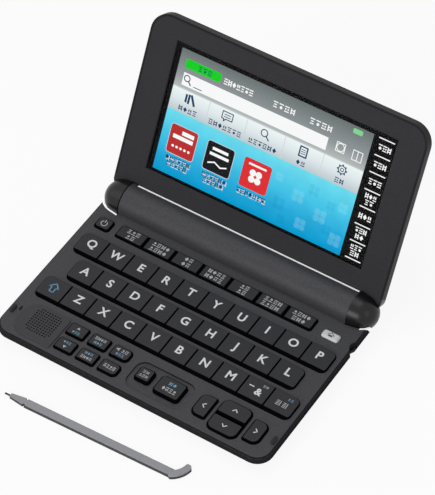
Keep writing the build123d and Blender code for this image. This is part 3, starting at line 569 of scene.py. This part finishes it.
mark_key("key_shift", ink_blue, arrow_up)
mark_key("key_dash", ink_white, dash)
mark_key("key_dash", ink_grey, word_marks((3.1, 3.4, 2, 3.0, 1.3)), "word")
letter("legend_and", key_face("key_dash"), "&", AMPERSAND_SIZE, ink_white, "key_dash", x=1.5, y=-0.9)
mark_key("key_delete", ink_grey, delete_word)
mark_key("key_delete", ink_blue, word_marks((2.6, 2.9, 2, 3.0, 1.3)), "word")
mark_key("key_power", ink_grey, power)
mark_key("key_home", ink_dark, home, slot="key_black")
mark_key("key_back", ink_grey, word_marks((0, 1.15, 2, 3.4, 1.5), (0, -1.15, 3, 4.6, 1.5)))
mark_key("key_enter", ink_grey, word_marks((0.3, -1.5, 4, 7.6, 2.3)))
mark_key("key_enter", ink_blue, word_marks((0.3, 1.9, 2, 4.2, 2.0)), "word")
for node, turn in (("key_up", 0), ("key_left", pi / 2), ("key_down", pi), ("key_right", -pi / 2)):
    mark_key(node, ink_white, chevron(turn))

FUNCTION_WORDS = ((3, 2), (4, 4), (2, 2), (4, 4), (2, 2), (4, 4), (4, 3))   # figures in the two words
FUNCTION_ROWS = (1.55, -1.55)
low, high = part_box("function_keys")
function_pitch = (high.x - low.x) / len(FUNCTION_WORDS) / MM
words = Print("marks_function_keys", key_sheet(low.x, (low.y + high.y) / 2, high.z), ink_grey)
for key, counts in enumerate(FUNCTION_WORDS):
    for blocks, y in zip(counts, FUNCTION_ROWS):
        label_line(words, (key + 0.5) * function_pitch, y, blocks, 2.4 * blocks, 2.3)
words.finish("function_keys", "key_pale")

low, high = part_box("quick_keys")
QUICK_PITCH = (12.1, 9.6)
LOUDSPEAKER_SIGN = [(-0.9, -0.4), (-0.3, -0.4), (0.5, -1.0), (0.5, 1.0), (-0.3, 0.4), (-0.9, 0.4)]
quick_sheet = key_sheet((low.x + high.x) / 2, (low.y + high.y) / 2, high.z)
quick_grey = Print("marks_quick_keys", quick_sheet, ink_grey)
quick_blue = Print("word_quick_keys", quick_sheet, ink_blue)
for column in (-1, 0, 1):
    for row in (-1, 1):
        x, y = column * QUICK_PITCH[0], row * QUICK_PITCH[1] / 2
        if column == -1:
            quick_grey.shape([(-0.9, row * -0.5), (0.9, row * -0.5), (0, row * 0.9)], x, y + row * 1.1)
            label_line(quick_blue, x, y - row * 1.4, 3, 4.2, 1.4)
        elif (column, row) == (1, 1):
            quick_grey.shape(LOUDSPEAKER_SIGN, x - 2.2, y + 1.1)
            label_line(quick_grey, x + 1.3, y + 1.1, 2, 3.6, 1.8)
            label_line(quick_blue, x, y - 1.4, 3, 4.6, 1.5)
        elif (column, row) == (1, -1):
            label_line(quick_grey, x, y, 4, 6.4, 2.0)
        else:
            label_line(quick_grey, x, y + 1.2 * row, 4, 6.0, 1.6)
            label_line(quick_blue, x, y - 1.3 * row, 3, 4.4, 1.5)
quick_grey.finish("quick_keys", "key_pale")
quick_blue.finish("quick_keys", "key_pale")

# the microphone's slot, beside the speaker: a flat near-black patch, painted shade for the slot's opening
MICROPHONE_PLACE = Vector((-68.4, -45.07, DECK_TOP)) * MM
microphone = Print("microphone_slot_painted_shade", key_sheet(*MICROPHONE_PLACE), display_black, lift=0.03)
microphone.tile(0, 0, 1.0, 2.8, 0.45)
microphone.finish("base", "speaker_black")

# ------------------------------------------------------------------ screw heads in the underside
SCREW_PLACES = [(across * x, y) for x, y in ((66.0, -38.87), (17.0, 23.93)) for across in (-1, 1)]
SCREW_RINGS = ((1.65, 1.78), (1.65, 1.25), (1.45, 1.0), (0.95, 0.92))    # radius and height
SCREW_SIDES = 24
RECESS_DEPTH = 0.45
screws = bmesh.new()


def ring(places):
    return [screws.verts.new(place) for place in places]


def skin(lower, upper):
    """Faces between two rings."""
    for side_number in range(SCREW_SIDES):
        following = (side_number + 1) % SCREW_SIDES
        screws.faces.new((lower[side_number], lower[following], upper[following], upper[side_number]))


def recess_reach(side_number):
    """How far the cross recess reaches at one side, as a share of the flat face."""
    if side_number % 6 == 0:
        return 0.92
    return 0.42 if side_number % 3 == 0 else 0.3


turns = [2 * pi * side_number / SCREW_SIDES for side_number in range(SCREW_SIDES)]
for x, y in SCREW_PLACES:
    rings = []
    for radius, height in SCREW_RINGS:
        places = [(x + radius * cos(turn), y + radius * sin(turn), height) for turn in turns]
        rings.append(ring([Vector(place) * MM for place in places]))
    middle = (x * MM, y * MM)
    mouth = []
    for side_number, corner in enumerate(rings[-1]):
        reach = recess_reach(side_number)
        drawn_in = [centre + (edge - centre) * reach for centre, edge in zip(middle, corner.co)]
        mouth.append(Vector((*drawn_in, corner.co.z)))
    rings.append(ring(mouth))
    rings.append(ring([place + Vector((0, 0, RECESS_DEPTH * MM)) for place in mouth]))
    screws.faces.new(rings[0])
    for lower, upper in zip(rings, rings[1:]):
        skin(lower, upper)
    screws.faces.new(rings[-1])
bmesh.ops.recalc_face_normals(screws, faces=screws.faces)
screw_mesh = bpy.data.meshes.new("screw_heads")
screws.to_mesh(screw_mesh)
screws.free()
screw_mesh.materials.append(screw_black)
add_piece("screw_heads", screw_mesh, "base")

# ------------------------------------------------------------------ the lit display
# Lid coordinates: x along the hinge, y down the lid from just under its free edge.
SHEET_TOP = 95.6              # from the hinge axis
module_points = [Vector(vertex.co) for vertex in frame["nodes"]["lcd_module"].data.vertices]
display_front = max((point - hinge_point).dot(lid_out) for point in module_points)
display_corner = hinge_point + lid_up * SHEET_TOP * MM + lid_out * display_front
display = Sheet(display_corner, side, -lid_up, lid_out)

# Heights of the layers of light over the module's face.
GROUND, HAZE, FIRST, SECOND, THIRD = 0.02, 0.025, 0.03, 0.04, 0.05


def display_print(name, ink, lift):
    return Print(name, display, ink, lift)


def glowing(name, stops, blotches=0.0):
    """Colours of a lit area, shaded from its lower to its upper end."""
    material, nodes, links, shader = new_material(name)
    place = nodes.new("ShaderNodeTexCoord")
    split = nodes.new("ShaderNodeSeparateXYZ")
    links.new(place.outputs["Generated"], split.inputs["Vector"])
    colours = ramp(nodes, links, split.outputs["Z"], stops)
    if blotches:
        cells = nodes.new("ShaderNodeTexVoronoi")
        cells.inputs["Scale"].default_value = 150
        links.new(place.outputs["Object"], cells.inputs["Vector"])
        tones = [(0.0, (1.0, 1.0, 1.0)), (1.0, shade((1.0, 1.0, 1.0), 1 - blotches))]
        tone = ramp(nodes, links, cells.outputs["Distance"], tones)
        mix = multiplier(nodes, links, colours)
        mix.inputs["Fac"].default_value = 1.0
        links.new(tone, mix.inputs["Color2"])
        colours = mix.outputs["Color"]
    light_source(links, shader, colours, 1.0)
    shader.inputs["Roughness"].default_value = 0.5
    return material


def haze(name, colour, share):
    """Thin light laid over the picture, patchy as it is on the real display."""
    material, nodes, links, shader = new_material(name)
    nodes.remove(shader)
    patches = spread_over(nodes, links, add_noise(nodes, links, 400), share * 0.6, share * 1.4)
    clear = nodes.new("ShaderNodeBsdfTransparent")
    glow = nodes.new("ShaderNodeEmission")
    glow.inputs["Color"].default_value = (*colour, 1.0)
    mix_surface(nodes, links, patches, clear.outputs["BSDF"], glow.outputs["Emission"])
    return material


PICTURE = (-56.2, 47.2, 12.8, 75.4)           # left, right, top, bottom
HEADER_END = 31.6
TOOLBAR_END = 43.6
left, right_end, top, bottom = PICTURE
picture_width = right_end - left
picture_middle = (left + right_end) / 2


def band(name, ink, start, end):
    """Lit strip over the picture's whole width."""
    area = display_print(name, ink, GROUND)
    area.bar(picture_middle, (start + end) / 2, picture_width, end - start)
    area.finish("lid", "display")


HEADER_STOPS = [(0.0, (0.46, 0.49, 0.49)), (0.35, (0.28, 0.31, 0.32)), (1.0, (0.145, 0.17, 0.17))]
TOOLBAR_STOPS = [(0.0, (0.50, 0.58, 0.62)), (0.5, (0.72, 0.79, 0.81)), (1.0, (0.86, 0.93, 0.93))]
DESKTOP_STOPS = [(0.0, (0.0, 0.33, 0.64)), (0.3, (0.02, 0.42, 0.74)), (0.65, (0.07, 0.60, 0.85)),
                 (1.0, (0.16, 0.75, 0.90))]
header_look = glowing("display_header_grey", HEADER_STOPS)
toolbar_look = glowing("display_toolbar_silver", TOOLBAR_STOPS)
desktop_look = glowing("display_desktop_cyan", DESKTOP_STOPS, 0.10)
band("display_header", header_look, top, HEADER_END)
band("display_toolbar", toolbar_look, HEADER_END, TOOLBAR_END)
band("display_desktop", desktop_look, TOOLBAR_END, bottom)

lit_white = lit("lit_white", (0.93, 0.94, 0.94))
lit_soft = lit("lit_soft_white", (0.62, 0.66, 0.66))
lit_green = lit("lit_green", (0.01, 0.62, 0.02))
lit_leaf = lit("lit_pale_green", (0.22, 0.66, 0.30))
lit_navy = lit("lit_navy", (0.015, 0.05, 0.12))
lit_red = lit("lit_red", (0.72, 0.03, 0.035))
lit_brick = lit("lit_brick", (0.48, 0.03, 0.03))
lit_black = lit("lit_black", (0.012, 0.013, 0.015))

# header: tab, search field, words, two icons and the battery sign
tab = display_print("display_tab", lit_green, FIRST)
tab.tile(-43.0, 19.2, 19.6, 4.6, 1.0)
tab.finish("lid", "display")
field = display_print("display_search_field", lit_white, FIRST)
field.bar(-13.0, 27.0, 78.6, 6.4)
field.finish("lid", "display")
words = display_print("display_header_words", lit_white, FIRST)
for x, blocks, width in ((-23.6, 7, 16.1), (1.2, 4, 12.4), (21.0, 4, 12.4)):
    label_line(words, x, 19.6, blocks, width, 2.9)
words.arc(33.2, 25.8, 1.9, 0.4)
words.outline([(31.0, 28.0), (35.4, 28.0), (35.4, 23.6), (31.0, 23.6)], 0.4)
words.outline([(39.8, 24.0), (44.6, 24.0), (44.6, 28.8), (39.8, 28.8)], 0.4)
words.stroke([(42.2, 24.0), (42.2, 28.8)], 0.4)
words.finish("lid", "display")
battery = display_print("display_battery", lit_leaf, FIRST)
battery.tile(39.4, 15.3, 5.0, 2.4, 0.6)
battery.finish("lid", "display")
tab_word = display_print("display_tab_word", lit_navy, SECOND)
label_line(tab_word, -42.0, 19.3, 3, 7.8, 2.4)
tab_word.arc(-50.0, 26.3, 1.5, 0.5)
tab_word.stroke([(-49.0, 27.4), (-47.6, 29.0)], 0.6)
tab_word.bar(-43.6, 29.0, 4.6, 0.4)

# toolbar: five cells with an icon over a word
edges = display_print("display_toolbar_edges", lit_soft, FIRST)
CELL = picture_width / 5
for index in range(1, 5):
    edges.bar(left + index * CELL, (HEADER_END + TOOLBAR_END) / 2, 0.35, TOOLBAR_END - HEADER_END)
edges.bar(picture_middle, HEADER_END + 0.25, picture_width, 0.5)
edges.finish("lid", "display")
ICON_Y, WORD_Y = 35.6, 41.2
cells = [left + (index + 0.5) * CELL for index in range(5)]
for offset, height in ((-2.2, 4.2), (-0.7, 4.8)):
    tab_word.bar(cells[0] + offset, ICON_Y, 1.1, height)
tab_word.stroke([(0.4, -2.2), (2.6, 2.2)], 1.2, cells[0], ICON_Y)
BALLOON = [(-2.8, -2.2), (2.8, -2.2), (2.8, 1.4), (-0.6, 1.4), (-1.6, 2.6), (-1.6, 1.4), (-2.8, 1.4)]
tab_word.outline(BALLOON, 0.5, cells[1], ICON_Y)
tab_word.bar(cells[1], ICON_Y - 0.9, 3.6, 0.4)
tab_word.bar(cells[1], ICON_Y + 0.3, 3.6, 0.4)
tab_word.arc(cells[2] - 0.5, ICON_Y - 0.5, 1.7, 0.5)
tab_word.stroke([(0.7, 0.7), (2.4, 2.4)], 0.6, cells[2], ICON_Y)
tab_word.outline([(-1.9, -2.4), (1.9, -2.4), (1.9, 2.4), (-1.9, 2.4)], 0.7, cells[3], ICON_Y)
for step in (-1.0, 0.0, 1.0):
    tab_word.bar(cells[3], ICON_Y + step, 2.6, 0.35)
tab_word.arc(cells[4], ICON_Y, 1.9, 0.5)
tab_word.arc(cells[4], ICON_Y, 0.8, 0.4)
for tooth in range(8):
    turn = radians(45 * tooth)
    tab_word.disc(cells[4] + 2.4 * cos(turn), ICON_Y + 2.4 * sin(turn), 0.4, 8)
for x, blocks in zip(cells, (4, 7, 6, 2, 2)):
    label_line(tab_word, x, WORD_Y, blocks, 2.6 * blocks, 2.5)
tab_word.finish("lid", "display")

# desktop: faint leaves in squares towards the lower right
lit_mist = haze("lit_pale_haze", (0.45, 0.90, 0.98), 0.16)
lit_dusk = haze("lit_deep_haze", (0.0, 0.25, 0.55), 0.14)
MIST_SPOTS = ((19.5, 57.0, 4.4), (32.5, 61.5, 4.6), (42.5, 53.0, 3.6), (24.0, 69.5, 4.0), (42.5, 69.5, 4.4),
              (8.0, 52.0, 3.0))
DUSK_SPOTS = ((11.0, 64.5, 4.4), (26.5, 51.0, 3.8), (37.5, 66.5, 3.4), (14.0, 71.5, 3.0), (36.5, 54.5, 3.0),
              (2.0, 68.0, 3.4))
LEAF_ANGLES = [radians(90 * leaf + 45) for leaf in range(4)]
LEAVES = (("display_leaves", lit_mist, MIST_SPOTS), ("display_petals", lit_dusk, DUSK_SPOTS))
for name, ink, spots in LEAVES:
    leaves = display_print(name, ink, HAZE)
    for x, y, reach in spots:
        for angle in LEAF_ANGLES:
            leaf_x, leaf_y = x + reach * 0.5 * cos(angle), y + reach * 0.5 * sin(angle)
            leaves.tile(leaf_x, leaf_y, reach * 0.66, reach * 0.66, reach * 0.2)
    leaves.finish("lid", "display")

# desktop: three application tiles with plain generic faces, each over one or two words
TILES = (                     # place, size, colour, figures in the words, whether it has a rim
    (-44.4, 57.2, 14.6, lit_brick, (6, 5), True),
    (-24.1, 57.2, 14.6, lit_black, (6, 5), True),
    (-3.8, 57.0, 14.8, lit_red, (7,), False),
)
rims = display_print("display_tile_rims", lit_soft, FIRST)
glows = display_print("display_tile_word_glow", lit_soft, FIRST)
shades = display_print("display_tile_words", lit_navy, SECOND)
faces = display_print("display_tile_marks", lit_white, THIRD)
for index, (x, y, size, ink, counts, has_rim) in enumerate(TILES):
    if has_rim:
        rims.tile(x, y, size + 0.6, size + 0.6, 1.6)
    cover = display_print(f"display_tile_{index}", ink, SECOND)
    cover.tile(x, y, size, size, 1.3)
    cover.finish("lid", "display")
    for row, blocks in enumerate(counts):
        for marks, drop in ((glows, 0.5), (shades, 0.0)):
            label_line(marks, x + drop, y + 9.8 + 2.6 * row + drop, blocks, 2.3 * blocks, 2.4)
rims.finish("lid", "display")
glows.finish("lid", "display")
shades.finish("lid", "display")
book_x, book_y = TILES[0][:2]
for step, width in ((-4.4, 6.6), (-1.6, 11.0)):
    faces.bar(book_x + (11.0 - width) / 2, book_y + step, width, 2.0)
for dot in range(5):
    faces.disc(book_x + 2.2 * (dot - 2), book_y + 3.4, 0.7, 10)
page_x, page_y = TILES[1][:2]
for step, width in ((-4.2, 8.6), (-1.4, 10.4)):
    faces.bar(page_x, page_y + step, width, 1.5)
faces.stroke([(-5.0, 3.6), (-1.6, 2.2), (1.8, 3.8), (5.0, 2.6)], 0.7, page_x, page_y)
clover_x, clover_y = TILES[2][:2]
for angle in LEAF_ANGLES:
    faces.disc(clover_x + 2.3 * cos(angle), clover_y + 0.6 + 2.3 * sin(angle), 1.7, 14)
faces.bar(clover_x, clover_y - 4.9, 9.6, 1.0)
faces.finish("lid", "display")

# touch keys beside the picture: a word between every two lines
SOFT_KEY_X, SOFT_KEY_WIDTH = 54.0, 8.2
LINES = (13.2, 21.8, 30.4, 39.2, 48.0, 56.8, 65.5, 74.3)
touch_keys = display_print("display_touch_keys", lit_white, FIRST)
for y in LINES:
    touch_keys.bar(SOFT_KEY_X, y, SOFT_KEY_WIDTH, 0.55)
for (start, end), rows in zip(zip(LINES, LINES[1:]), (1, 1, 1, 2, 1, 2, 2)):
    y = (start + end) / 2
    if rows == 1:
        label_line(touch_keys, SOFT_KEY_X, y, 3, 7.0, 2.8)
    else:
        label_line(touch_keys, SOFT_KEY_X, y - 1.6, 3, 6.2, 2.5)
        label_line(touch_keys, SOFT_KEY_X, y + 1.6, 2, 4.8, 2.5)
touch_keys.finish("lid", "display")

# ------------------------------------------------------------------ camera at the photograph's angle
IMAGE_SIZE = (435, 495)
FOCAL_PIXELS = 2791.7
PRINCIPAL = (218.69, 244.32)          # optical axis in the image
azimuth, elevation, roll = radians(34.705), radians(49.823), radians(-2.193)
camera_target = Vector((12.64, 0.02, 60.04)) * MM
camera_distance = 1243.9 * MM

away = Vector((sin(azimuth) * cos(elevation), -cos(azimuth) * cos(elevation), sin(elevation)))
level_right = (-away).cross(up).normalized()
level_up = level_right.cross(-away)
right = cos(roll) * level_right + sin(roll) * level_up
upward = -sin(roll) * level_right + cos(roll) * level_up
camera_data = bpy.data.cameras.new("camera")
camera_data.lens = FOCAL_PIXELS * camera_data.sensor_width / IMAGE_SIZE[1]
camera_data.shift_x = (IMAGE_SIZE[0] / 2 - PRINCIPAL[0]) / IMAGE_SIZE[1]
camera_data.shift_y = (PRINCIPAL[1] - IMAGE_SIZE[1] / 2) / IMAGE_SIZE[1]
camera_data.clip_end = 10
camera = bpy.data.objects.new("camera", camera_data)
camera.matrix_world = facing(camera_target + away * camera_distance, right, upward, away)
bpy.context.scene.collection.objects.link(camera)
bpy.context.scene.camera = camera
bpy.context.scene.view_settings.view_transform = "Standard"


# ------------------------------------------------------------------ floor, lights and world
def camera_ray(nodes, links):
    """1 where the camera sees the surface, straight, mirrored or through glass."""
    path = nodes.new("ShaderNodeLightPath")
    seen = path.outputs["Is Camera Ray"]
    for name in ("Is Glossy Ray", "Is Transmission Ray"):
        seen = maths(nodes, links, "MAXIMUM", seen, path.outputs[name])
    return seen


FLOOR_OWN_LIGHT = 0.9
floor_mesh = bpy.data.meshes.new("floor")
floor_form = bmesh.new()
bmesh.ops.create_grid(floor_form, x_segments=1, y_segments=1, size=4)
floor_form.to_mesh(floor_mesh)
floor_form.free()
floor = bpy.data.objects.new("floor", floor_mesh)
bpy.context.scene.collection.objects.link(floor)
floor_look, nodes, links, shader = new_material("floor_pale_paper")
paper = add_noise(nodes, links, 8)
stops = [(0.3, (0.93, 0.93, 0.93)), (0.7, (0.95, 0.95, 0.95))]
links.new(ramp(nodes, links, paper.outputs["Fac"], stops), shader.inputs["Base Color"])
shader.inputs["Roughness"].default_value = 0.9
glow = nodes.new("ShaderNodeEmission")
glow.inputs["Strength"].default_value = 1.0
share = maths(nodes, links, "MULTIPLY", camera_ray(nodes, links), FLOOR_OWN_LIGHT)
mix_surface(nodes, links, share, shader.outputs["BSDF"], glow.outputs["Emission"])
floor_mesh.materials.append(floor_look)

world = bpy.data.worlds.new("studio")
world.use_nodes = True
bpy.context.scene.world = world
nodes, links = world.node_tree.nodes, world.node_tree.links
plain = nodes["Background"]
plain.inputs["Color"].default_value = (0.97, 0.98, 1.0, 1.0)
plain.inputs["Strength"].default_value = 0.36
white = nodes.new("ShaderNodeBackground")
white.inputs["Color"].default_value = (1.0, 1.0, 1.0, 1.0)
white.inputs["Strength"].default_value = 1.0
seen = camera_ray(nodes, links)
mix_surface(nodes, links, seen, plain.outputs["Background"], white.outputs["Background"], "World Output")


def softbox(name, place, aim, size, watts):
    data = bpy.data.lights.new(name, "AREA")
    data.shape = "RECTANGLE"
    data.size, data.size_y = size
    data.energy = watts
    lamp = bpy.data.objects.new(name, data)
    lamp.location = place
    lamp.rotation_euler = (Vector(aim) - Vector(place)).to_track_quat("-Z", "Y").to_euler()
    bpy.context.scene.collection.objects.link(lamp)


softbox("top_softbox", (-0.3, 0.1, 1.3), (0, 0, 0), (0.9, 0.9), 3.7)
softbox("front_softbox", (-0.1, -1.3, 0.55), (0, 0, 0.03), (1.1, 0.6), 7.5)
softbox("left_softbox", (-1.1, -0.5, 0.8), (0, 0, 0.03), (0.7, 0.9), 1.5)
softbox("right_softbox", (1.2, -0.3, 0.7), (0, 0, 0.04), (0.6, 0.8), 1.0)
